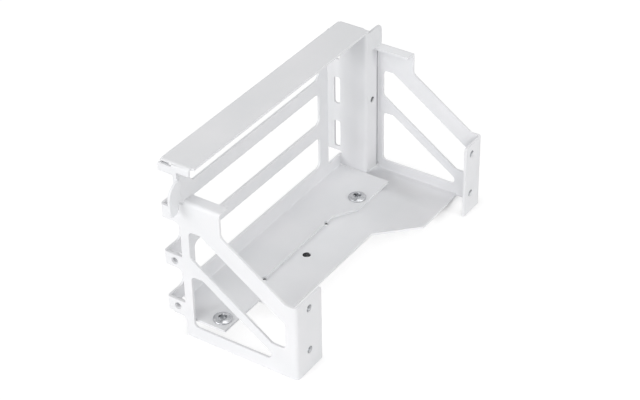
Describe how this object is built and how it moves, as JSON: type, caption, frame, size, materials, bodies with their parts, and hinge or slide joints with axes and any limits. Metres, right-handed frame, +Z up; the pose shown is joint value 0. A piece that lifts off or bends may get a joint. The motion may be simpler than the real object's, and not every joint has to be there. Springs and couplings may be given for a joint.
{
  "type": "vertical gpu mount",
  "caption": "White folded-steel frame that holds a graphics card upright: a slotted panel with screw tabs, clamped to a base plate, between triangular side plates.",
  "frame": {"origin": "centre of the four case screw holes, on the front faces of the end flanges", "axes": "+X along the slot panel, from the screw tabs to the tongue slots; +Y back from the end flanges to the panel; +Z up"},
  "size_m": [0.1362, 0.0619, 0.074],
  "materials": {
    "powder_coat": "fine matt white powder coat",
    "nickel_plate": "bright nickel plate"
  },
  "bodies": {
    "root": {"slot_panel": "powder_coat", "top_flange": "powder_coat", "end_wall": "powder_coat", "frame_floor": "powder_coat", "left_side": "powder_coat", "base_plate": "powder_coat", "right_side": "powder_coat", "clamp_screws": "nickel_plate"}
  },
  "joints": []
}
